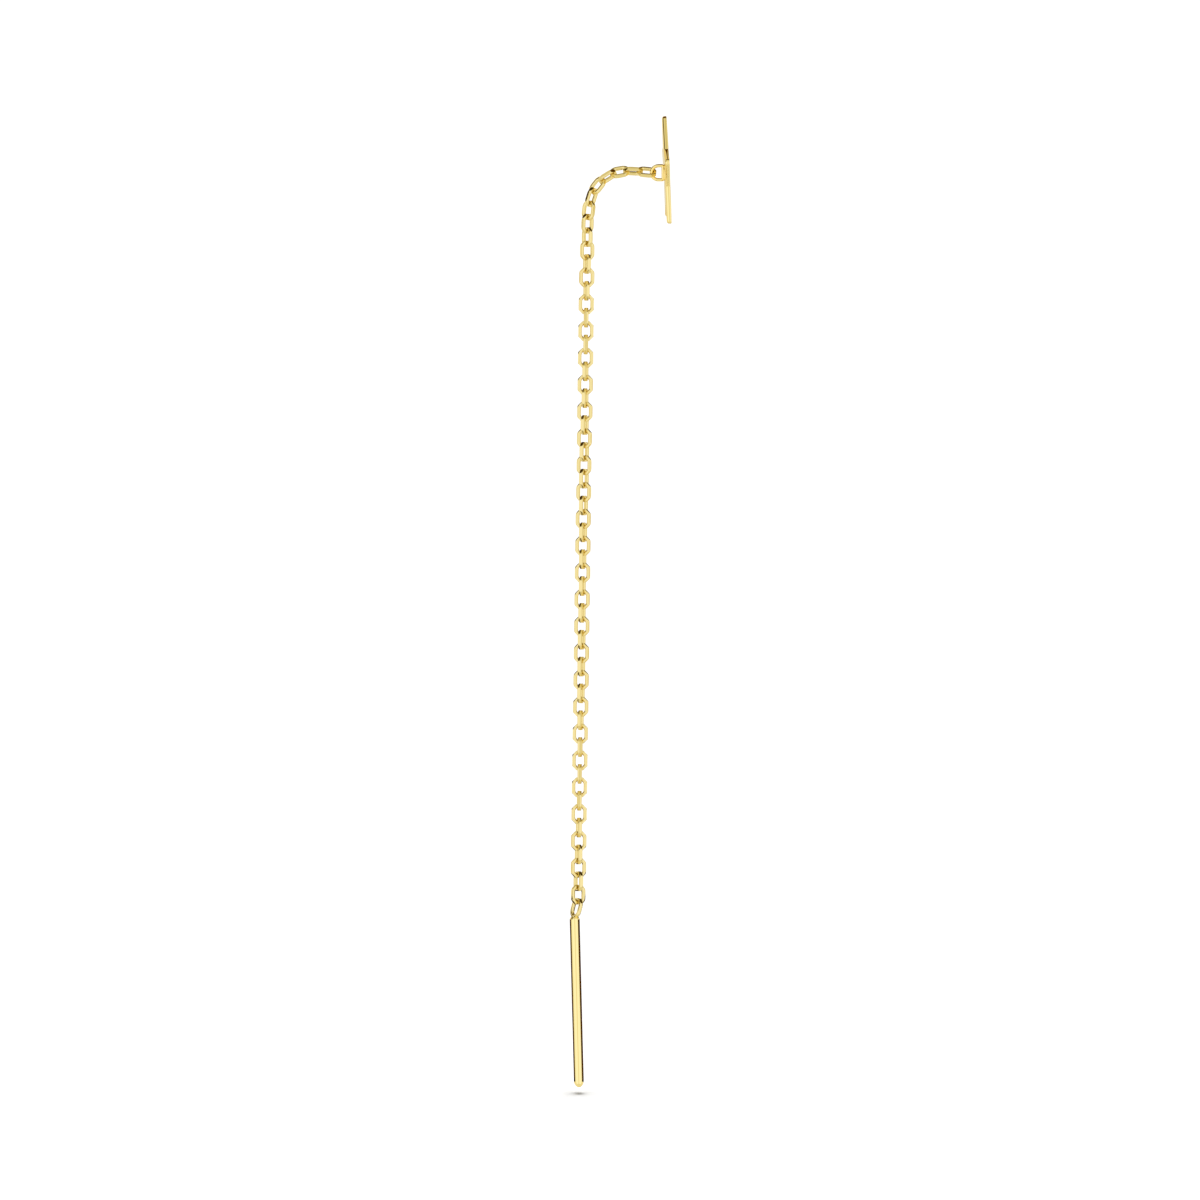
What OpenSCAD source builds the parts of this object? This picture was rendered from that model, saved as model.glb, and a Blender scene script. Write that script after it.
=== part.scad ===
// Threader earring: a flat star with a soldered ring, a fine cut cable chain and a threading bar.
// X runs from the chain's drop towards the star's face, -Y is the side that is looked at, +Z is up.
// The origin is on the short run of chain that lies through the ear lobe.

/* [Chain] */
// Number of loose links between the star's ring and the bar
link_count = 58; // [20:1:90]
// Overall length of a link
link_l = 1.62; // [1.5:0.01:2.2]
// Overall width of a link
link_w = 1.26; // [1.1:0.01:1.6]
// Diameter of the round wire that a link is bent from
link_wire = 0.28; // [0.24:0.01:0.34]
// Thickness left at a link's ends where the outside is cut flat
end_wall = 0.18; // [0.16:0.01:0.22]
// Thickness left at a link's sides where the outside is cut flat
side_wall = 0.25; // [0.2:0.01:0.28]
// Thickness left at a link's cut corners
corner_wall = 0.23; // [0.18:0.01:0.26]
// Play between two links that hang in each other
link_play = 0.1855; // [0.1:0.0005:0.25]

/* [Star] */
// Number of points of the star
star_points = 5; // [4:1:8]
// Reach of a point of the star from its centre
star_r = 4.60; // [3.5:0.01:6]
// Reach of the notches between the points
notch_r = 2.56; // [1.8:0.01:3]
// Radius that rounds off each point
point_round = 0.28; // [0.1:0.01:0.4]
// Thickness of the star
star_t = 0.40; // [0.3:0.01:0.8]
// Turn of the star in its own plane, degrees
star_turn = 7; // [-36:0.5:36]
// Lean of the star's top towards the chain, degrees
star_lean = 2.5; // [0:0.1:6]
// Turn of the star's near side away from the chain, degrees
star_yaw = 1.15; // [-6:0.05:6]
// Drop of the star's middle below the middle of its ring
star_drop = 0.05; // [0:0.01:0.5]

/* [Soldered ring] */
// Diameter of the ring's wire
ring_wire = 0.27; // [0.22:0.01:0.34]
// Height of the ring over its wire
ring_h = 1.39; // [1.3:0.01:2]
// Reach of the ring from the star's back
ring_reach = 1.20; // [1.1:0.01:1.8]
// Depth that the ring's foot is sunk in the star's back
solder_sink = 0.06; // [0.03:0.01:0.1]
// Play between the first link and the ring's wire
ring_play = 0.20; // [0.1:0.01:0.3]

/* [Threading bar] */
// Diameter of the bar
bar_d = 0.80; // [0.6:0.01:1]
// Length of the bar without its end link
bar_l = 13.72; // [8:0.01:30]
// Length of the rounded tip
tip_l = 0.56; // [0.3:0.01:1]
// Length of the rounded top
top_l = 0.32; // [0.2:0.01:0.6]
// Lean of the bar's tip towards the star, degrees
bar_lean = 1.47; // [0:0.01:4]
// Lean of the soldered end link away from the star, degrees
end_link_lean = 14; // [0:0.5:16]
// Depth that the end link is sunk in the bar's top
link_sink = 0.16; // [0.1:0.01:0.2]

/* [Hidden] */
$fn = 48;

// Route of the chain in the X-Z plane, from the star's ring over the lobe and down to the bar
route = [
    [1.9, -0.1], [0.8, 0], [-0.3, 0.05], [-1.35, -0.14], [-2.28, -0.72], [-2.95, -1.58],
    [-3.26, -2.62], [-3.38, -3.7], [-3.42, -4.8], [-3.42, -6.4], [-3.5, -10.7], [-3.58, -17.1],
    [-3.74, -27.8], [-3.83, -34.3], [-3.91, -40.7], [-4.01, -47.2], [-4.1, -53.6], [-4.14, -57.9]
];
// Twist of the even links out of the picture plane: share of the chain's links, degrees
even_twist = [
    [0, -71], [0.034, -70], [0.069, -65], [0.103, -59], [0.138, -49], [0.172, -32], [0.207, -18],
    [0.241, -6], [0.276, 0], [0.345, 12], [0.379, 13], [0.414, 24], [0.448, 28], [0.483, 26],
    [0.552, 16], [0.603, 13], [0.69, 18], [0.741, 16], [0.81, 4], [0.862, 0], [0.914, -9],
    [0.966, -20], [1, -33]
];
// Twist of the odd links beyond that of the even ones, degrees
odd_twist = [[0, 132], [0.05, 121], [0.09, 113], [0.12, 98], [0.19, 97], [0.24, 90], [1, 90]];

// Distance between the joints of the chain
pitch = link_l - 2 * end_wall - link_play;
// Radius of the round ends of a link's hole, of its wire's bends, and where their centres lie
hole_r = link_w / 2 - side_wall;
bend_r = hole_r + link_wire / 2;
bend_x = link_l / 2 - end_wall - hole_r;
// Radius of the soldered ring's bend
ring_r = (ring_h - ring_wire) / 2;
// Steps of each rounded outline: half a point of the star, an end of the bar
arc_steps = 8;

// Next joint of the chain: the point of the route, from segment k on, that lies one pitch from p
function step_on(p, k) =
    let (a = route[k], d = route[k + 1] - a, e = a - p)
    let (b = d * e, c = e * e - pitch * pitch, t = (sqrt(b * b - (d * d) * c) - b) / (d * d))
    t <= 1 || k == len(route) - 2 ? [a + t * d, k] : step_on(p, k + 1);
function walk(p, k, left) =
    left == 0 ? [p] : let (q = step_on(p, k)) concat([p], walk(q[0], q[1], left - 1));

joints = walk(route[0], 0, link_count);
last_joint = joints[link_count];

// Twist of link i about its own length
function twist(i) =
    lookup(i / link_count, even_twist) + (i % 2 == 1 ? lookup(i / link_count, odd_twist) : 0);

// Outline of a link's cut outside: a box whose corners are cut across at 45 degrees
function cut_outline() =
    let (x = link_l / 2, y = link_w / 2, s = bend_x + (hole_r + corner_wall) * sqrt(2))
    [
        [x, s - x], [s - y, y], [y - s, y], [-x, s - x],
        [-x, x - s], [y - s, -y], [s - y, -y], [x, x - s]
    ];

// One link in the X-Y plane: an oval of round wire with its outside cut flat on eight sides
module link() {
    intersection() {
        union() {
            for (side = [0, 180])
                rotate(side) {
                    translate([bend_x, 0, 0])
                        rotate(-90) rotate_extrude(angle = 180) translate([bend_r, 0]) circle(d = link_wire);
                    translate([-bend_x, bend_r, 0])
                        rotate([0, 90, 0]) cylinder(d = link_wire, h = 2 * bend_x);
                }
        }
        translate([0, 0, -link_wire]) linear_extrude(2 * link_wire) polygon(cut_outline());
    }
}

// Lays a link along the line from p to q in the X-Z plane, twisted about it
module lay_link(p, q, turn) {
    d = q - p;
    m = (p + q) / 2;
    translate([m[0], 0, m[1]])
        rotate([0, -atan2(d[1], d[0]), 0]) rotate([90 + turn, 0, 0]) link();
}

module chain() {
    color("gold")
        for (i = [1:link_count]) lay_link(joints[i - 1], joints[i], twist(i));
}

// Outline of the star: each point is an arc that its two sides touch, and the notches are sharp
function star_outline() =
    let (share = 360 / star_points, c = star_r - point_round)
    let (n = notch_r * [cos(share / 2), sin(share / 2)], d = n - [c, 0])
    let (half = atan2(d[1], d[0]) - acos(point_round / norm(d)))
    [
        for (arm = [1:star_points], k = [-arc_steps:arc_steps + 1])
            let (turn = 90 + star_turn + share * arm, a = half * k / arc_steps)
            let (p = k > arc_steps ? n : [c + point_round * cos(a), point_round * sin(a)])
            [p[0] * cos(turn) - p[1] * sin(turn), p[0] * sin(turn) + p[1] * cos(turn)]
    ];

// Star with its back in the Y-Z plane and its face towards +X
module star() {
    rotate([90, 0, 90]) linear_extrude(star_t) polygon(star_outline());
}

// Ring in the X-Z plane with a round near end at x = 0 and a straight foot at the star's back
module ring() {
    foot_x = ring_reach + solder_sink - ring_wire;
    translate([ring_r, 0, 0]) rotate([90, 0, 0]) rotate(90)
        rotate_extrude(angle = 180) translate([ring_r, 0]) circle(d = ring_wire);
    for (z = [-ring_r, ring_r]) {
        translate([ring_r, 0, z]) rotate([0, 90, 0]) cylinder(d = ring_wire, h = foot_x - ring_r);
        translate([foot_x, 0, z]) sphere(d = ring_wire);
    }
    translate([foot_x, 0, -ring_r]) cylinder(d = ring_wire, h = 2 * ring_r);
}

module star_front() {
    // The ring's near wire is half a play short of the chain's first joint
    wire_x = route[0][0] - (ring_play + ring_wire) / 2;
    color("gold")
        translate([wire_x, 0, route[0][1]])
            union() {
                ring();
                translate([ring_reach - ring_wire / 2, 0, -star_drop])
                    rotate([0, -star_lean, star_yaw]) star();
            }
}

// Profile of the bar, from its rounded top at z = 0 down to its tip
function bar_outline() =
    let (r = bar_d / 2, step = 90 / arc_steps)
    concat(
        [for (a = [0:step:90]) [r * sin(a), top_l * (cos(a) - 1)]],
        [for (a = [0:step:90]) [r * cos(a), tip_l * (1 - sin(a)) - bar_l]]
    );

module threader_bar() {
    p = last_joint;
    along = [-sin(end_link_lean), -cos(end_link_lean)];
    // The end link hangs in the last joint, and its far end is sunk in the bar's top
    top = p + (pitch + link_play / 2 + end_wall - link_sink) * along;
    color("gold")
        union() {
            lay_link(p, p + pitch * along, twist(link_count + 1));
            translate([top[0], 0, top[1]])
                rotate([0, -bar_lean, 0]) rotate_extrude() polygon(bar_outline());
        }
}

star_front();
chain();
threader_bar();
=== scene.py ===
# Threader earring of yellow gold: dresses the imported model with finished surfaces, gold and a studio.
# Sizes are in metres in the row frame: +Z up, +X towards the star's face, the camera looks along +Y.

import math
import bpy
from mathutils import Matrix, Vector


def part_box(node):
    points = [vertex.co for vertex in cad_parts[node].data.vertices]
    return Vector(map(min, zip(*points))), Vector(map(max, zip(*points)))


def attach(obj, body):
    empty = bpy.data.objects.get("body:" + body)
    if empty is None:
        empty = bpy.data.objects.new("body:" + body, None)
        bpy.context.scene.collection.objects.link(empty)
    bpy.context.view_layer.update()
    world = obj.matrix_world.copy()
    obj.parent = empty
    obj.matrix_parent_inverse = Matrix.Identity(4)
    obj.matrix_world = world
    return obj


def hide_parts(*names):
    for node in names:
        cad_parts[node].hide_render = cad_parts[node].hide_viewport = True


bl_info = {
    "name": "Threader earring",
    "version": (1, 0, 0),
    "blender": (4, 5, 0),
    "location": "3D View > Sidebar > Earring",
    "description": "Builds a threader earring: star, soldered ring, cut cable chain and threading bar",
    "category": "Object",
}

import bpy
import numpy as np

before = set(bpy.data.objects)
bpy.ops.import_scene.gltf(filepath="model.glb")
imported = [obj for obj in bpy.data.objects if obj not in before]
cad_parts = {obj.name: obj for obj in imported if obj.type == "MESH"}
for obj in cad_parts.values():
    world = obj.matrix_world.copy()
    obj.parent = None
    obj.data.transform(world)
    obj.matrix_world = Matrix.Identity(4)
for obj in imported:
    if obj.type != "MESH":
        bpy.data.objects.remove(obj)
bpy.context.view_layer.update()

MM = 0.001
FULL_TURN = 2 * math.pi
LINK_COUNT = 58

# Degrees past which an edge stays sharp: a link's cuts are crisp, and every other piece is rounded
CUT_SHARP = 21
ROUND_SHARP = 35
# Points round a link's wire and across its cuts, and round the wire of the ring and the bar
LINK_ROUND_STEPS = 17
LINK_CUT_STEPS = 7
RING_STEPS = 20
BAR_STEPS = 48
# Points along each tip, notch and rim of the star
TIP_STEPS = 13
NOTCH_STEPS = 5
RIM_STEPS = 6
# Half sizes of the solder at the ring's foot, in shares of the wire, the wire and the ring's height
RING_SOLDER = (0.35, 0.8, 0.46)
# Half sizes of the solder in the bar's top, and how deep it sits, in shares of the wire
BAR_SOLDER = (0.75, 0.75, 0.45)
BAR_SOLDER_SINK = 0.1

# Finish of each gold and its painted shade: scale of its clouds, strength of its hairlines, roughness
# beyond that of the mirror polish, and the share by which its colour is darkened as painted shade
FINISHES_AND_SHADE = {
    # Only the chain's cut gold has a share of painted shade, which makes it darker than the other gold
    "cut_gold": (1400, 0.15, 0.07, 0.1),
    "star_gold": (500, 0.25, 0.0, 0.0),
    "ring_gold": (900, 0.2, 0.0, 0.0),
    "bar_gold": (300, 0.15, 0.0, 0.0),
    "solder_gold": (1200, 0.5, 0.05, 0.0),
}
# Tint of the gold's mirror image at a glancing angle
GLANCING_TINT = (0.96, 0.8, 0.5, 1)
# Roughness that the clouds add where they are thickest
CLOUD_ROUGHNESS = 0.05
# Scale of the hairlines from the polishing, and their height in metres
HAIRLINE_SCALE = 2600
HAIRLINE_HEIGHT = 4e-6
# Tones of the floor's paper and of the black cards
PAPER_TONE = (0.9, 0.9, 0.9)
CARD_TONE = (0.1, 0.04, 0.001)

# Light that the gold sees from the black flags, and that of the soft light round them
FLAG_TONE = (0.05, 0.026, 0.006)
SOFT_LIGHT = 1.07
# Powers that deepen red, green and blue where a flag's edge is half dark
DEEPENING = (1.0, 1.12, 1.9)
# Light that the camera sees behind the earring, bright enough to wash its outline
BACKGROUND_LIGHT = 1.1
# Dark parts of the studio, by the angles in degrees at which each starts, is full, fades and ends.
# A turn goes sideways from the camera, a rise goes up from level, and over goes from the camera's
# side up and over to the far side.
CEILING_OVER = (36, 47, 128, 138)
CEILING_DARK = 0.3
CEILING_SLANT = 0.15
OVERHEAD_OVER = (86, 96, 128, 138)
OVERHEAD_RISE = (30, 42)
BEHIND_TURN = (136, 146)
BEHIND_RISE = (8, 13, 27, 35)
SIDES_TURN = (60, 85, 100, 124)
SIDES_DARK = 0.25
LEFT_TURN = (52, 62, 95, 108)
LEFT_RISE = (8, 16, 42, 52)
# Dim parts of the studio, by the two angles between which the light changes, and what is left of it
CAMERA_TURN = (5, 14)
CAMERA_LIGHT = 0.78
BACKDROP_TURN = (118, 140)
BACKDROP_LIGHT = 0.72
FLOOR_RISE = (-52, -38)
FLOOR_LIGHT = 0.78
# Tilts of the two lights overhead and the width of the sky that each fills, in degrees, and its
# strength
LIGHT_TILTS = {"left": -14, "right": 14}
LIGHT_SPREAD = 36
LIGHT_ENERGY = 2.2
# Where the cards beside the bar start and end along Y, in shares of their distance from the bar
LEFT_CARD_NEAR = 0.03
RIGHT_CARD_NEAR = -0.25
CARD_FAR = 8

# Route of the chain in the X-Z plane in millimetres, from the ring over the lobe and down to the bar
CHAIN_ROUTE = [
    (1.848, -0.1), (0.8, 0), (-0.3, 0.05), (-1.35, -0.14), (-2.28, -0.72), (-2.95, -1.58),
    (-3.26, -2.62), (-3.38, -3.7), (-3.42, -4.8), (-3.42, -6.4), (-3.5, -10.7), (-3.58, -17.1),
    (-3.74, -27.8), (-3.83, -34.3), (-3.91, -40.7), (-4.01, -47.2), (-4.1, -53.6), (-4.14, -57.9),
]
# Twist of the even links out of the picture plane: share of the chain's links, degrees
EVEN_TWIST = [
    (0, -71), (0.034, -70), (0.069, -65), (0.103, -59), (0.138, -49), (0.172, -32), (0.207, -18),
    (0.241, -6), (0.276, 0), (0.345, 12), (0.379, 13), (0.414, 24), (0.448, 28), (0.483, 26),
    (0.552, 16), (0.603, 13), (0.69, 18), (0.741, 16), (0.81, 4), (0.862, 0), (0.914, -9),
    (0.966, -20), (1, -33),
]
# Twist of the odd links beyond that of the even ones, degrees
ODD_TWIST = [(0, 132), (0.05, 121), (0.09, 113), (0.12, 98), (0.19, 97), (0.24, 90), (1, 90)]


def length(name, description, millimetres):
    """A size in metres, given in millimetres."""
    return bpy.props.FloatProperty(
        name=name, description=description, default=millimetres * MM, unit="LENGTH", precision=6
    )


def angle(name, description, degrees):
    """An angle in radians, given in degrees."""
    return bpy.props.FloatProperty(
        name=name, description=description, default=math.radians(degrees), unit="ROTATION"
    )


def share(name, description, value):
    """A plain number with no unit."""
    return bpy.props.FloatProperty(name=name, description=description, default=value)


def colour(name, description, value):
    """A colour in linear light."""
    return bpy.props.FloatVectorProperty(
        name=name, description=description, default=value, size=3, subtype="COLOR"
    )


class EARRING_PG_chain(bpy.types.PropertyGroup):
    """Sizes of the cut cable chain"""

    link_l: length("Link length", "Overall length of a link", 1.57)
    link_w: length("Link width", "Overall width of a link", 1.20)
    wire: length("Wire", "Diameter of the wire that a link is bent from", 0.336)
    end_wall: length("End wall", "Thickness left at a link's cut ends", 0.25)
    side_wall: length("Side wall", "Thickness left at a link's cut sides", 0.27)
    corner_wall: length("Corner wall", "Thickness left at a link's cut corners", 0.265)
    facet_bulge: length("Facet bulge", "Height that a polished cut rises in its middle", 0.009)
    pitch: length("Pitch", "Distance between the joints of the taut chain", 1.0736)


class EARRING_PG_star(bpy.types.PropertyGroup):
    """Sizes of the star and its soldered ring"""

    points: bpy.props.IntProperty(name="Points", description="Points of the star", default=5)
    reach: length("Point reach", "Reach of a point from the centre", 4.60)
    notch: length("Notch reach", "Reach of a notch from the centre", 2.56)
    point_round: length("Point radius", "Radius that rounds off each point", 0.28)
    notch_round: length("Notch radius", "Radius that rounds out each notch", 0.25)
    middle_t: length("Middle thickness", "Thickness at the middle of the star", 0.46)
    rim_t: length("Rim thickness", "Thickness at the rim of the star", 0.38)
    back_edge: length("Back edge", "Radius of the edge at the back", 0.20)
    face_edge: length("Face edge", "Radius of the edge at the face", 0.07)
    turn: angle("Turn", "Turn of the star in its own plane", 7)
    lean: angle("Lean", "Lean of the star's top towards the chain", 2.5)
    yaw: angle("Yaw", "Turn of the near side away from the chain", 1.15)
    centre_x: length("Back X", "Where the middle of the star's back is along X", 2.73)
    centre_z: length("Back Z", "Where the middle of the star's back is along Z", -0.15)
    ring_z: length("Ring Z", "Where the middle of the ring is along Z", -0.1)
    ring_wire: length("Ring wire", "Diameter of the ring's wire", 0.27)
    ring_h: length("Ring height", "Height of the ring over its wire", 1.39)
    ring_corner: length("Ring corner", "Radius of the ring's bends at its foot", 0.14)
    sink: length("Solder sink", "Depth that the ring's foot is sunk in the star", 0.06)


class EARRING_PG_bar(bpy.types.PropertyGroup):
    """Sizes of the threading bar"""

    diameter: length("Diameter", "Diameter of the bar", 0.80)
    bar_l: length("Length", "Length of the bar without its end link", 13.72)
    tip_l: length("Tip", "Length of the rounded tip", 0.56)
    top_l: length("Top", "Length of the rounded top", 0.32)
    lean: angle("Lean", "Lean of the bar's tip towards the star", 1.47)
    link_lean: angle("Link lean", "Lean of the soldered end link away from the star", 14)
    top_drop: length("Top drop", "Distance from the last joint to the bar's top", 1.187)


class EARRING_PG_gold(bpy.types.PropertyGroup):
    """Colour and finish of the gold"""

    gold: colour("Gold", "Colour of the polished gold", (0.96, 0.83, 0.43))
    deep: colour("Deep gold", "Colour of the gold where its polish is worn", (0.94, 0.79, 0.36))
    gloss: share("Roughness", "Roughness of the mirror polish", 0.03)


class EARRING_PG_studio(bpy.types.PropertyGroup):
    """Places of the camera, the floor and the black cards"""

    frame_w: length("Frame", "Width that the camera takes in at the earring", 96)
    away: length("Camera distance", "Distance of the camera from the earring", 3000)
    centre_x: length("Centre X", "Where the middle of the frame is along X", -2.4)
    centre_z: length("Centre Z", "Where the middle of the frame is along Z", -34.28)
    card_off: length("Card distance", "Distance of the black cards from the bar", 12)
    floor_gap: length("Floor gap", "Gap between the bar's tip and the floor", 0.5)


def props(group):
    """One of the earring's groups of settings."""
    return getattr(bpy.context.scene, "earring_" + group)


def arc_path(arcs):
    """A closed path of arcs joined by straight lines, and its outward normals.

    Each arc is (centre x, centre y, radius, angles in radians): a point is the centre plus the
    radius times (cos, sin) of the angle, and its normal is (cos, sin) of the angle.
    """
    places = []
    normals = []
    for centre_x, centre_y, radius, angles in arcs:
        around = np.stack([np.cos(angles), np.sin(angles)], axis=1)
        places.append(np.array([centre_x, centre_y]) + radius * around)
        normals.append(around)
    return np.concatenate(places), np.concatenate(normals)


def closed_faces(rows, columns):
    """Faces of a grid that closes on itself both ways."""
    i, j = np.meshgrid(np.arange(rows), np.arange(columns), indexing="ij")
    here = i * columns + j
    right = i * columns + (j + 1) % columns
    below = ((i + 1) % rows) * columns + j
    across = ((i + 1) % rows) * columns + (j + 1) % columns
    return np.stack([here, right, across, below], axis=-1).reshape(-1, 4)


def stack_shape(rings, first, last):
    """Points and faces of a stack of closed rings whose two ends are closed by a pole each."""
    rows, columns = rings.shape[:2]
    points = np.concatenate([rings.reshape(-1, 3), [first], [last]])
    quads = closed_faces(rows, columns)[: (rows - 1) * columns]
    j = np.arange(columns)
    after = (j + 1) % columns
    low = np.stack([np.full(columns, rows * columns), after, j], axis=1)
    base = (rows - 1) * columns
    high = np.stack([np.full(columns, rows * columns + 1), base + j, base + after], axis=1)
    return points, quads.tolist() + low.tolist() + high.tolist()


def outward(points, faces):
    """The faces turned so that the volume they close, summed over cones from the origin, is positive."""
    total = 0.0
    for size in (3, 4):
        some = np.array([f for f in faces if len(f) == size], dtype=int)
        for k in range(1, size - 1):
            if len(some):
                a, b, c = points[some[:, 0]], points[some[:, k]], points[some[:, k + 1]]
                total += np.einsum("ij,ij->i", a, np.cross(b, c)).sum()
    return faces if total > 0 else [f[::-1] for f in faces]


def add_piece(name, points, faces, material, body, node, sharp):
    """Makes a piece from its points and faces, smooth but for edges past the sharp angle in degrees."""
    mesh = bpy.data.meshes.new(name)
    mesh.from_pydata(points.tolist(), [], outward(points, faces))
    mesh.update()
    mesh.shade_smooth()
    mesh.set_sharp_from_angle(angle=math.radians(sharp))
    mesh.materials.append(material)
    piece = bpy.data.objects.new(name, mesh)
    bpy.context.scene.collection.objects.link(piece)
    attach(piece, body)
    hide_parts(node)
    return piece


def walk(route, pitch, count):
    """Joints of the chain: each is the next point of the route that lies one pitch from the last."""
    route = np.array(route) * MM
    joint = route[0]
    joints = [joint]
    segment = 0
    while len(joints) <= count:
        start = route[segment]
        along = route[segment + 1] - start
        back = start - joint
        half = along @ back
        reach = half * half - (along @ along) * (back @ back - pitch * pitch)
        t = (math.sqrt(max(reach, 0)) - half) / (along @ along)
        if t <= 1 or segment == len(route) - 2:
            joint = start + t * along
            joints.append(joint)
        else:
            segment += 1
    return np.array(joints)


def twist(i):
    """Twist of link i about its own length, in radians."""
    at = i / LINK_COUNT
    turn = np.interp(at, *np.array(EVEN_TWIST, dtype=float).T)
    if i % 2:
        turn += np.interp(at, *np.array(ODD_TWIST, dtype=float).T)
    return math.radians(turn)


def link_grid(size):
    """One link in the X-Y plane, as a grid of sections.

    The centreline is an oval of two half circles joined by straight sides. Its section is a
    circle whose outward side is cut off flat by the nearest of eight planes, which stand square
    to the link's length, to its width and at 45 degrees between them. The polish leaves each cut
    a little full: it rises by the bulge times one less the square of the place across it.
    """
    wire_r = size.wire / 2
    hole_r = size.link_w / 2 - size.side_wall
    bend_r = hole_r + wire_r
    bend_x = size.link_l / 2 - size.end_wall - hole_r
    end_d = size.link_l / 2 - bend_x
    side_d = size.link_w / 2
    corner_d = hole_r + size.corner_wall
    diagonal = math.sqrt(2) * corner_d
    end_edge = math.atan2(diagonal - end_d, end_d)
    side_edge = math.atan2(side_d, diagonal - side_d)
    quarter = math.pi / 2
    # Angles of half a bend: along the end's cut, the corner's and the side's
    half = np.concatenate([
        np.linspace(0, end_edge, 3, endpoint=False),
        np.linspace(end_edge, side_edge, 5, endpoint=False),
        np.linspace(side_edge, quarter, 4),
    ])
    bend = np.concatenate([-half[:0:-1], half])
    path, normal = arc_path([(bend_x, 0, bend_r, bend), (-bend_x, 0, bend_r, bend + math.pi)])

    turned = np.abs(normal)
    planes = np.stack([
        end_d / np.maximum(turned[:, 0], 1e-6),
        side_d / np.maximum(turned[:, 1], 1e-6),
        diagonal / (turned[:, 0] + turned[:, 1]),
    ])
    # Where no plane reaches the wire, a sliver of a cut keeps the grid whole
    cut = np.minimum(planes.min(axis=0) - bend_r, wire_r * 0.999)
    edge = np.arccos(cut / wire_r)
    sweep = np.linspace(0, 1, LINK_ROUND_STEPS)
    round_v = edge[:, None] + (FULL_TURN - 2 * edge)[:, None] * sweep
    flat = np.linspace(-1, 1, LINK_CUT_STEPS)[1:-1]
    # A shallow cut bulges less, so that it stays inside the round wire
    bulge = np.minimum(size.facet_bulge, (wire_r - cut) * 0.6)
    reach = np.concatenate(
        [wire_r * np.cos(round_v), cut[:, None] + bulge[:, None] * (1 - flat * flat)], axis=1
    )
    height = np.concatenate(
        [wire_r * np.sin(round_v), wire_r * np.sin(edge)[:, None] * flat], axis=1
    )
    plane = path[:, None, :] + normal[:, None, :] * reach[..., None]
    return np.concatenate([plane, height[..., None]], axis=-1)


def lay_link(grid, start, end, turn):
    """A link's grid laid along the line between two joints, with its width turned about the line."""
    along = np.array([end[0] - start[0], 0, end[1] - start[1]])
    along /= np.linalg.norm(along)
    across = np.array([-along[2], 0, along[0]])
    wide = across * math.cos(turn) + np.array([0, -1, 0]) * math.sin(turn)
    middle = np.array([start[0] + end[0], 0, start[1] + end[1]]) / 2
    return middle + grid @ np.stack([along, wide, np.cross(along, wide)])


def star_outline(star):
    """Outline of the star and its outward normals, once round.

    Each point is an arc that its two sides touch, and each notch is a smaller arc that the
    sides touch from outside.
    """
    share_turn = FULL_TURN / star.points
    centre = np.array([star.reach - star.point_round, 0])
    notch = star.notch * np.array([math.cos(share_turn / 2), math.sin(share_turn / 2)])
    gap = notch - centre
    distance = np.linalg.norm(gap)
    half = math.atan2(gap[1], gap[0]) - math.acos(star.point_round / distance)
    tip_turn = np.linspace(-half, half, TIP_STEPS)
    tip_normal = np.stack([np.cos(tip_turn), np.sin(tip_turn)], axis=1)
    tip = centre + star.point_round * tip_normal

    spoke = notch / star.notch
    side = tip[-1] - notch
    side /= np.linalg.norm(side)
    open_half = math.acos(float(side @ spoke))
    fillet = notch + spoke * star.notch_round / math.sin(open_half)
    notch_turn = np.linspace(1, -1, NOTCH_STEPS) * (math.pi / 2 - open_half)
    facing = math.pi + share_turn / 2 + notch_turn
    away = np.stack([np.cos(facing), np.sin(facing)], axis=1)
    corner = fillet + star.notch_round * away

    arm = np.concatenate([tip, corner])
    arm_normal = np.concatenate([tip_normal, -away])
    outline = []
    normals = []
    for k in range(star.points):
        turn = math.pi / 2 + star.turn + share_turn * k
        spin = np.array([[math.cos(turn), math.sin(turn)], [-math.sin(turn), math.cos(turn)]])
        outline.append(arm @ spin)
        normals.append(arm_normal @ spin)
    return np.concatenate(outline), np.concatenate(normals)


def star_rings(star):
    """The star as rings from the middle of its back to the middle of its face.

    Each ring is the outline moved in along its normals. Both rims are quarter circles, and over
    the face the height falls with the square of the share of the reach.
    """
    outline, normal = star_outline(star)
    quarter = np.linspace(0, math.pi / 2, RIM_STEPS)
    back_in = star.back_edge * (1 - np.sin(quarter))
    back_x = star.back_edge * (1 - np.cos(quarter))
    face_in = star.face_edge * (1 - np.cos(quarter))
    face_x = star.rim_t - star.face_edge * (1 - np.sin(quarter))
    spread = np.linspace(0.12, 0.98, 10)
    rings = []
    for s in spread:
        rings.append((s * (outline - star.back_edge * normal), 0.0))
    for inset, x in zip(np.concatenate([back_in, face_in]), np.concatenate([back_x, face_x])):
        rings.append((outline - inset * normal, x))
    rise = star.middle_t - star.rim_t
    for s in spread[::-1]:
        rings.append((s * (outline - star.face_edge * normal), star.rim_t + rise * (1 - s * s)))
    grid = np.stack([
        np.concatenate([np.full((len(flat), 1), x), flat], axis=1) for flat, x in rings
    ])
    return grid, np.array([0.0, 0, 0]), np.array([star.middle_t, 0, 0])


def turn_about_y(turn):
    """The matrix that turns points about the Y axis."""
    c, s = math.cos(turn), math.sin(turn)
    return np.array([[c, 0, s], [0, 1, 0], [-s, 0, c]])


def star_place(star, points):
    """Points of the star leaned about Y, turned about Z and moved to its place."""
    c, s = math.cos(star.yaw), math.sin(star.yaw)
    about_z = np.array([[c, -s, 0], [s, c, 0], [0, 0, 1]])
    spin = about_z @ turn_about_y(-star.lean)
    return points @ spin.T + np.array([star.centre_x, 0, star.centre_z])


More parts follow.
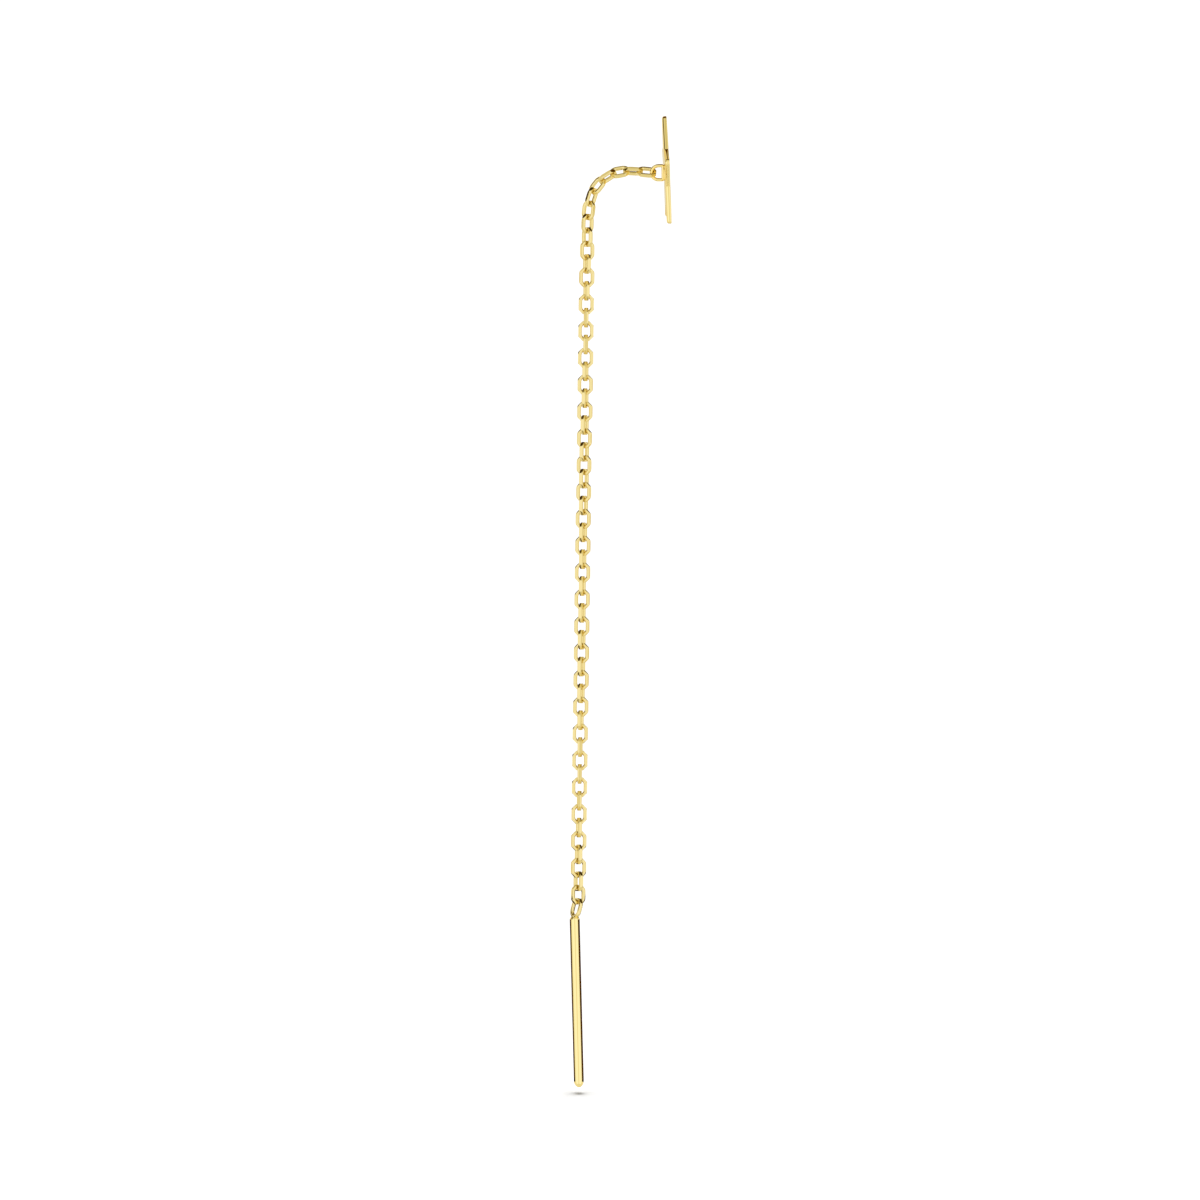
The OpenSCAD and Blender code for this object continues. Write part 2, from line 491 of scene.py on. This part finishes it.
def ring_grid(star, wire_x):
    """The soldered ring: a circle of wire carried along a path of arcs and straight lines.

    The path is a half circle near the chain and a straight foot on the star, with a small bend
    at each end of the foot. A point is the path's point plus the wire's radius times the cosine
    of its angle along the path's normal, and times the sine along Y.
    """
    wire_r = star.ring_wire / 2
    bend_r = star.ring_h / 2 - wire_r
    corner = star.ring_corner
    foot_x = star.centre_x + star.sink - wire_r
    quarter = math.pi / 2
    path, normal = arc_path([
        (wire_x + bend_r, 0, bend_r, np.linspace(quarter, 3 * quarter, 25)),
        (foot_x - corner, corner - bend_r, corner, np.linspace(3 * quarter, 4 * quarter, 8)),
        (foot_x - corner, bend_r - corner, corner, np.linspace(0, quarter, 8)),
    ])
    v = np.linspace(0, FULL_TURN, RING_STEPS, endpoint=False)
    flat = path[:, None, :] + normal[:, None, :] * (wire_r * np.cos(v))[None, :, None]
    side = np.broadcast_to(wire_r * np.sin(v), flat.shape[:2])
    return np.stack([flat[..., 0], side, star.ring_z + flat[..., 1]], axis=-1)


def bead(centre, radii, rows=10, columns=20):
    """A drop of solder: a unit ball times the given radii, as level rings and two poles."""
    v = np.linspace(0, math.pi, rows + 2)[1:-1]
    u = np.linspace(0, FULL_TURN, columns, endpoint=False)
    ball = np.stack([
        np.sin(v)[:, None] * np.cos(u), np.sin(v)[:, None] * np.sin(u),
        np.repeat(np.cos(v)[:, None], columns, axis=1),
    ], axis=-1)
    centre = np.array(centre)
    up = np.array([0, 0, radii[2]])
    return centre + ball * np.array(radii), centre + up, centre - up


def bar_rings(bar):
    """The bar as rings about its length: its top and tip are half ellipses, its sides straight."""
    radius = bar.diameter / 2
    quarter = np.linspace(0, math.pi / 2, 15)[1:]
    run = np.linspace(-bar.top_l, bar.tip_l - bar.bar_l, 12)[1:-1]
    r = np.concatenate([
        radius * np.sin(quarter), np.full(len(run), radius), radius * np.sin(quarter[::-1])
    ])
    z = np.concatenate([
        bar.top_l * (np.cos(quarter) - 1), run, bar.tip_l * (1 - np.cos(quarter[::-1])) - bar.bar_l
    ])
    u = np.linspace(0, FULL_TURN, BAR_STEPS, endpoint=False)
    rings = np.stack([
        r[:, None] * np.cos(u), r[:, None] * np.sin(u), np.repeat(z[:, None], len(u), axis=1)
    ], axis=-1)
    return rings, np.array([0.0, 0, 0]), np.array([0, 0, -bar.bar_l])


def polish_group():
    """Shader group for polished metal: faint clouds of tone, gloss and height from the polishing."""
    name = "polish_marks"
    if name in bpy.data.node_groups:
        return bpy.data.node_groups[name]
    group = bpy.data.node_groups.new(name, "ShaderNodeTree")
    for label, kind, value in (
        ("Bright", "NodeSocketColor", (1, 1, 1, 1)),
        ("Worn", "NodeSocketColor", (1, 1, 1, 1)),
        ("Gloss", "NodeSocketFloat", 0.07),
        ("Cloud scale", "NodeSocketFloat", 900.0),
        ("Hairline strength", "NodeSocketFloat", 0.2),
    ):
        socket = group.interface.new_socket(label, in_out="INPUT", socket_type=kind)
        socket.default_value = value
    for label, kind in (
        ("Colour", "NodeSocketColor"), ("Roughness", "NodeSocketFloat"), ("Normal", "NodeSocketVector")
    ):
        group.interface.new_socket(label, in_out="OUTPUT", socket_type=kind)
    nodes, links = group.nodes, group.links
    given = nodes.new("NodeGroupInput")
    out = nodes.new("NodeGroupOutput")
    place = nodes.new("ShaderNodeTexCoord")
    cloud = nodes.new("ShaderNodeTexNoise")
    cloud.inputs["Detail"].default_value = 3
    links.new(place.outputs["Object"], cloud.inputs["Vector"])
    links.new(given.outputs["Cloud scale"], cloud.inputs["Scale"])
    tone = nodes.new("ShaderNodeMix")
    tone.data_type = "RGBA"
    links.new(cloud.outputs["Fac"], tone.inputs["Factor"])
    links.new(given.outputs["Bright"], tone.inputs["A"])
    links.new(given.outputs["Worn"], tone.inputs["B"])
    links.new(tone.outputs["Result"], out.inputs["Colour"])
    spread = nodes.new("ShaderNodeMath")
    spread.operation = "MULTIPLY_ADD"
    spread.inputs[1].default_value = CLOUD_ROUGHNESS
    links.new(cloud.outputs["Fac"], spread.inputs[0])
    links.new(given.outputs["Gloss"], spread.inputs[2])
    links.new(spread.outputs["Value"], out.inputs["Roughness"])
    hairline = nodes.new("ShaderNodeTexNoise")
    hairline.inputs["Scale"].default_value = HAIRLINE_SCALE
    hairline.inputs["Detail"].default_value = 2
    links.new(place.outputs["Object"], hairline.inputs["Vector"])
    bump = nodes.new("ShaderNodeBump")
    bump.inputs["Distance"].default_value = HAIRLINE_HEIGHT
    links.new(given.outputs["Hairline strength"], bump.inputs["Strength"])
    links.new(hairline.outputs["Fac"], bump.inputs["Height"])
    links.new(bump.outputs["Normal"], out.inputs["Normal"])
    return group


def gold(name):
    """Polished yellow gold with one of the named finishes; the cut gold's colour is darkened by painted
    shade.
    """
    if name in bpy.data.materials:
        return bpy.data.materials[name]
    cloud_scale, hairline, roughness, painted_shade = FINISHES_AND_SHADE[name]
    tones = props("gold")
    material = bpy.data.materials.new(name)
    material.use_nodes = True
    nodes, links = material.node_tree.nodes, material.node_tree.links
    shader = nodes["Principled BSDF"]
    shader.inputs["Metallic"].default_value = 1.0
    shader.inputs["Specular Tint"].default_value = GLANCING_TINT
    marks = nodes.new("ShaderNodeGroup")
    marks.node_tree = polish_group()
    # The colour is darkened by the finish's share of painted shade, which only the chain's cut gold has
    marks.inputs["Bright"].default_value = (*((1 - painted_shade) * np.array(tones.gold)), 1)
    marks.inputs["Worn"].default_value = (*((1 - painted_shade) * np.array(tones.deep)), 1)
    marks.inputs["Gloss"].default_value = tones.gloss + roughness
    marks.inputs["Cloud scale"].default_value = cloud_scale
    marks.inputs["Hairline strength"].default_value = hairline
    links.new(marks.outputs["Colour"], shader.inputs["Base Color"])
    links.new(marks.outputs["Roughness"], shader.inputs["Roughness"])
    links.new(marks.outputs["Normal"], shader.inputs["Normal"])
    material.diffuse_color = (*tones.gold, 1)
    return material


def chain_joints():
    """Joints of the chain, in metres."""
    return walk(CHAIN_ROUTE, props("chain").pitch, LINK_COUNT)


class EARRING_OT_chain(bpy.types.Operator):
    """Builds the cut cable chain as one body of links"""

    bl_idname = "earring.chain"
    bl_label = "Cut cable chain"

    def execute(self, context):
        joints = chain_joints()
        grid = link_grid(props("chain"))
        faces = closed_faces(*grid.shape[:2])
        count = grid.shape[0] * grid.shape[1]
        points = [
            lay_link(grid, joints[i - 1], joints[i], twist(i)).reshape(-1, 3)
            for i in range(1, LINK_COUNT + 1)
        ]
        all_faces = np.concatenate([faces + k * count for k in range(LINK_COUNT)])
        add_piece(
            "chain_links", np.concatenate(points), all_faces.tolist(),
            gold("cut_gold"), "earring", "chain", CUT_SHARP,
        )
        return {"FINISHED"}


class EARRING_OT_star(bpy.types.Operator):
    """Builds the star ornament with its rounded rim"""

    bl_idname = "earring.star"
    bl_label = "Star"

    def execute(self, context):
        star = props("star")
        rings, back, face = star_rings(star)
        points, faces = stack_shape(rings, back, face)
        add_piece(
            "star_ornament", star_place(star, points), faces,
            gold("star_gold"), "earring", "star_front", ROUND_SHARP,
        )
        return {"FINISHED"}


class EARRING_OT_ring(bpy.types.Operator):
    """Builds the ring that is soldered to the star's back"""

    bl_idname = "earring.ring"
    bl_label = "Soldered ring"

    def execute(self, context):
        star = props("star")
        joint = chain_joints()[0]
        grid = ring_grid(star, joint[0] - star.ring_wire / 2)
        add_piece(
            "soldered_ring", grid.reshape(-1, 3), closed_faces(*grid.shape[:2]).tolist(),
            gold("ring_gold"), "earring", "star_front", ROUND_SHARP,
        )
        pad = np.array([star.ring_wire, star.ring_wire, star.ring_h]) * RING_SOLDER
        rings, low, high = bead((star.centre_x, 0, star.ring_z), pad)
        points, faces = stack_shape(rings, low, high)
        add_piece(
            "ring_solder", points, faces, gold("solder_gold"), "earring", "star_front", ROUND_SHARP
        )
        return {"FINISHED"}


class EARRING_OT_bar(bpy.types.Operator):
    """Builds the threading bar with its soldered end link"""

    bl_idname = "earring.bar"
    bl_label = "Threading bar"

    def execute(self, context):
        bar = props("bar")
        chain = props("chain")
        joint = chain_joints()[-1]
        along = np.array([-math.sin(bar.link_lean), -math.cos(bar.link_lean)])
        top = joint + bar.top_drop * along
        rings, first, last = bar_rings(bar)
        points, faces = stack_shape(rings, first, last)
        points = points @ turn_about_y(-bar.lean).T + np.array([top[0], 0, top[1]])
        add_piece(
            "threading_bar", points, faces, gold("bar_gold"), "bar", "threader_bar", ROUND_SHARP
        )
        grid = link_grid(chain)
        laid = lay_link(grid, joint, joint + chain.pitch * along, twist(LINK_COUNT + 1))
        add_piece(
            "bar_end_link", laid.reshape(-1, 3), closed_faces(*grid.shape[:2]).tolist(),
            gold("cut_gold"), "bar", "threader_bar", CUT_SHARP,
        )
        drop = chain.wire * np.array(BAR_SOLDER)
        rings, low, high = bead((top[0], 0, top[1] - chain.wire * BAR_SOLDER_SINK), drop)
        points, faces = stack_shape(rings, low, high)
        add_piece(
            "bar_solder", points, faces, gold("solder_gold"), "bar", "threader_bar", ROUND_SHARP
        )
        return {"FINISHED"}


def studio_world():
    """Background: plain white to the camera, and to the gold a studio of soft light and dark parts.

    The gold sees soft light all round. A faint ceiling reaches from high in front to past the top,
    and a black flag hangs just behind the top. One more stands on the left, and one low behind on the
    right. Both sides are faintly dark, and the camera's place, the backdrop and the floor are dim.
    Each border is a smooth step over an angle, and where the parts overlap the darkest holds.
    Where a border is half dark it is deep gold, as in gold that mirrors gold: each channel of the
    light is the lit share raised to a power of its own.
    """
    world = bpy.data.worlds.new("studio")
    bpy.context.scene.world = world
    world.use_nodes = True
    nodes, links = world.node_tree.nodes, world.node_tree.links
    nodes.clear()

    def math_node(operation, *values):
        """Output of a math node on values that are numbers or other nodes' outputs."""
        node = nodes.new("ShaderNodeMath")
        node.operation = operation
        for socket, value in zip(node.inputs, values):
            if isinstance(value, bpy.types.NodeSocket):
                links.new(value, socket)
            else:
                socket.default_value = value
        return node.outputs["Value"]

    def smooth_step(value, edges, start=0.0, end=1.0):
        """Goes smoothly from start to end between two angles in degrees."""
        node = nodes.new("ShaderNodeMapRange")
        node.interpolation_type = "SMOOTHSTEP"
        links.new(value, node.inputs["Value"])
        node.inputs["From Min"].default_value = math.radians(edges[0])
        node.inputs["From Max"].default_value = math.radians(edges[1])
        node.inputs["To Min"].default_value = start
        node.inputs["To Max"].default_value = end
        return node.outputs["Result"]

    def band(value, edges, dark=1.0):
        """Goes up to dark between the first two of four angles, and back to 0 between the others."""
        up = smooth_step(value, edges[:2], 0.0, dark)
        return math_node("MULTIPLY", up, smooth_step(value, edges[2:], 1.0, 0.0))

    where = nodes.new("ShaderNodeTexCoord")
    parts = nodes.new("ShaderNodeSeparateXYZ")
    links.new(where.outputs["Generated"], parts.inputs["Vector"])
    front = math_node("MULTIPLY", parts.outputs["Y"], -1.0)
    side_turn = math_node("ARCTAN2", parts.outputs["X"], front)
    off_front = math_node("ABSOLUTE", side_turn)
    rise = math_node("ARCSINE", parts.outputs["Z"])
    over = math_node("ARCTAN2", parts.outputs["Z"], front)
    # The ceiling's front edge runs aslant, further back on the right than on the left
    slanted = math_node("SUBTRACT", over, math_node("MULTIPLY", side_turn, CEILING_SLANT))
    ceiling = math_node(
        "MULTIPLY", smooth_step(slanted, CEILING_OVER[:2], 0.0, CEILING_DARK),
        smooth_step(over, CEILING_OVER[2:], 1.0, 0.0),
    )
    overhead = math_node("MULTIPLY", band(over, OVERHEAD_OVER), smooth_step(rise, OVERHEAD_RISE))
    behind = math_node("MULTIPLY", smooth_step(side_turn, BEHIND_TURN), band(rise, BEHIND_RISE))
    sides = band(off_front, SIDES_TURN, SIDES_DARK)
    left_turn = math_node("MULTIPLY", side_turn, -1.0)
    left = math_node("MULTIPLY", band(left_turn, LEFT_TURN), band(rise, LEFT_RISE))
    dark = ceiling
    for part in (overhead, behind, sides, left):
        dark = math_node("MAXIMUM", dark, part)
    around = math_node("SUBTRACT", 1.0, dark)
    around = math_node("MULTIPLY", around, smooth_step(off_front, CAMERA_TURN, CAMERA_LIGHT, 1.0))
    around = math_node("MULTIPLY", around, smooth_step(off_front, BACKDROP_TURN, 1.0, BACKDROP_LIGHT))
    around = math_node("MULTIPLY", around, smooth_step(rise, FLOOR_RISE))
    lit = math_node("ADD", around, smooth_step(rise, FLOOR_RISE, FLOOR_LIGHT, 0.0))
    tone = nodes.new("ShaderNodeCombineColor")
    for channel, power, least in zip(("Red", "Green", "Blue"), DEEPENING, FLAG_TONE):
        deepened = math_node("POWER", lit, power)
        links.new(math_node("MULTIPLY_ADD", deepened, SOFT_LIGHT, least), tone.inputs[channel])
    to_gold = nodes.new("ShaderNodeBackground")
    links.new(tone.outputs["Color"], to_gold.inputs["Color"])
    path = nodes.new("ShaderNodeLightPath")
    links.new(path.outputs["Is Glossy Ray"], to_gold.inputs["Strength"])
    to_camera = nodes.new("ShaderNodeBackground")
    to_camera.inputs["Strength"].default_value = BACKGROUND_LIGHT
    to_camera.inputs["Color"].default_value = (1, 1, 1, 1)
    background = nodes.new("ShaderNodeMixShader")
    links.new(path.outputs["Is Camera Ray"], background.inputs["Fac"])
    links.new(to_gold.outputs["Background"], background.inputs[1])
    links.new(to_camera.outputs["Background"], background.inputs[2])
    out = nodes.new("ShaderNodeOutputWorld")
    links.new(background.outputs["Shader"], out.inputs["Surface"])


def plain(name, tone):
    """A plain matt material for the floor's paper and the black cards."""
    if name in bpy.data.materials:
        return bpy.data.materials[name]
    material = bpy.data.materials.new(name)
    material.use_nodes = True
    shader = material.node_tree.nodes["Principled BSDF"]
    shader.inputs["Base Color"].default_value = (*tone, 1)
    shader.inputs["Roughness"].default_value = 1.0
    shader.inputs["Specular IOR Level"].default_value = 0.0
    return material


def black_card(name, start, end, near, far):
    """A black card that only mirrors see, from one X-Z corner to another and from near Y to far Y."""
    corners = [
        (start[0], near, start[1]), (start[0], far, start[1]),
        (end[0], far, end[1]), (end[0], near, end[1]),
    ]
    mesh = bpy.data.meshes.new("black_card_" + name)
    mesh.from_pydata(corners, [], [(0, 1, 2, 3)])
    mesh.materials.append(plain("black_card", CARD_TONE))
    card = bpy.data.objects.new("black_card_" + name, mesh)
    bpy.context.scene.collection.objects.link(card)
    card.visible_camera = False
    card.visible_diffuse = False
    card.visible_shadow = False


def black_cards(off):
    """Black cards at the given distance from both sides of the bar, and one over the star."""
    low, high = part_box("threader_bar")
    bottom, top = low[2] - 2 * MM, high[2]
    left_x, right_x = low[0] - off, high[0] + off
    far = CARD_FAR * off
    # The right card starts nearer to the camera, so its strip on the bar is the wider one
    black_card("left", (left_x, bottom), (left_x, top), LEFT_CARD_NEAR * off, far)
    black_card("right", (right_x, bottom), (right_x, top), RIGHT_CARD_NEAR * off, far)

    low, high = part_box("star_front")
    middle, level = high[0] - 0.2 * MM, high[2] + 2.5 * MM
    half, near, far = 3.5 * MM, -2.6 * MM, 1.8 * MM
    black_card("star", (middle - half, level), (middle + half, level), near, far)


def top_light(side, tilt):
    """A broad light overhead, tilted sideways by some degrees, that mirrors don't see."""
    lamp = bpy.data.lights.new("top_light_" + side, "SUN")
    lamp.angle = math.radians(LIGHT_SPREAD)
    lamp.energy = LIGHT_ENERGY
    light = bpy.data.objects.new("top_light_" + side, lamp)
    light.rotation_euler = (0, math.radians(tilt), 0)
    light.visible_glossy = False
    bpy.context.scene.collection.objects.link(light)


def paper_floor(level):
    """The floor, a sheet of paper that is flat far behind and rolls down towards the camera.

    The roll starts a little behind the bar. From there on the height falls by the square of the
    way ahead over twice the roll's radius, and past the end of the curve on in a straight line.
    Under the bar the paper is at the given level.
    """
    roll_start = 2.8 * MM
    roll_r = 8 * MM
    curve = 3.6 * MM
    half_w = 0.6
    y = np.concatenate([
        np.linspace(-0.5, -0.02, 8), np.linspace(-0.015, roll_start, 40), [0.1, 0.5]
    ])
    ahead = np.clip(roll_start - y, 0, None)
    curved = np.minimum(ahead, curve)
    drop = curved * curved / (2 * roll_r) + (ahead - curved) * curve / roll_r
    z = level + roll_start * roll_start / (2 * roll_r) - drop
    points = np.stack([
        np.tile([-half_w, half_w], (len(y), 1)), np.repeat(y[:, None], 2, axis=1),
        np.repeat(z[:, None], 2, axis=1),
    ], axis=-1).reshape(-1, 3)
    row = np.arange(len(y) - 1) * 2
    faces = np.stack([row, row + 1, row + 3, row + 2], axis=1)
    mesh = bpy.data.meshes.new("paper_floor")
    mesh.from_pydata(points.tolist(), [], faces.tolist())
    mesh.shade_smooth()
    mesh.materials.append(plain("pale_paper", PAPER_TONE))
    floor = bpy.data.objects.new("paper_floor", mesh)
    bpy.context.scene.collection.objects.link(floor)
    floor.visible_glossy = False


def photo_camera(studio):
    """A camera far off, level, that looks along +Y and takes in the studio's frame."""
    camera = bpy.data.cameras.new("camera")
    camera.sensor_width = 36
    camera.lens = camera.sensor_width * studio.away / studio.frame_w
    camera.clip_start = 0.01
    camera.clip_end = 10
    seat = bpy.data.objects.new("camera", camera)
    seat.location = (studio.centre_x, -studio.away, studio.centre_z)
    seat.rotation_euler = (math.pi / 2, 0, 0)
    bpy.context.scene.collection.objects.link(seat)
    bpy.context.scene.camera = seat


class EARRING_OT_studio(bpy.types.Operator):
    """Builds the pale floor, the lights, the black cards and the camera"""

    bl_idname = "earring.studio"
    bl_label = "Studio"

    def execute(self, context):
        studio = props("studio")
        context.scene.view_settings.view_transform = "Standard"
        paper_floor(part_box("threader_bar")[0][2] - studio.floor_gap)
        for side, tilt in LIGHT_TILTS.items():
            top_light(side, tilt)
        black_cards(studio.card_off)
        studio_world()
        photo_camera(studio)
        return {"FINISHED"}


GROUPS = {
    "chain": EARRING_PG_chain,
    "star": EARRING_PG_star,
    "bar": EARRING_PG_bar,
    "gold": EARRING_PG_gold,
    "studio": EARRING_PG_studio,
}
STEPS = (EARRING_OT_chain, EARRING_OT_star, EARRING_OT_ring, EARRING_OT_bar, EARRING_OT_studio)


class EARRING_PT_panel(bpy.types.Panel):
    """Lists the earring's settings and the steps that build it"""

    bl_idname = "EARRING_PT_panel"
    bl_label = "Threader earring"
    bl_space_type = "VIEW_3D"
    bl_region_type = "UI"
    bl_category = "Earring"

    def draw(self, context):
        for name in GROUPS:
            settings = props(name)
            box = self.layout.box()
            box.label(text=name.capitalize())
            for key in settings.__annotations__:
                box.prop(settings, key)
        for step in STEPS:
            self.layout.operator(step.bl_idname)


def register():
    """Registers the groups of settings, the steps and the panel."""
    for name, group in GROUPS.items():
        bpy.utils.register_class(group)
        setattr(bpy.types.Scene, "earring_" + name, bpy.props.PointerProperty(type=group))
    for step in (*STEPS, EARRING_PT_panel):
        bpy.utils.register_class(step)


def unregister():
    """Takes everything that register made away again."""
    for step in (EARRING_PT_panel, *STEPS):
        bpy.utils.unregister_class(step)
    for name, group in GROUPS.items():
        delattr(bpy.types.Scene, "earring_" + name)
        bpy.utils.unregister_class(group)


def main():
    """Builds every piece and the studio."""
    register()
    bpy.ops.earring.chain()
    bpy.ops.earring.star()
    bpy.ops.earring.ring()
    bpy.ops.earring.bar()
    bpy.ops.earring.studio()


if __name__ == "__main__":
    main()
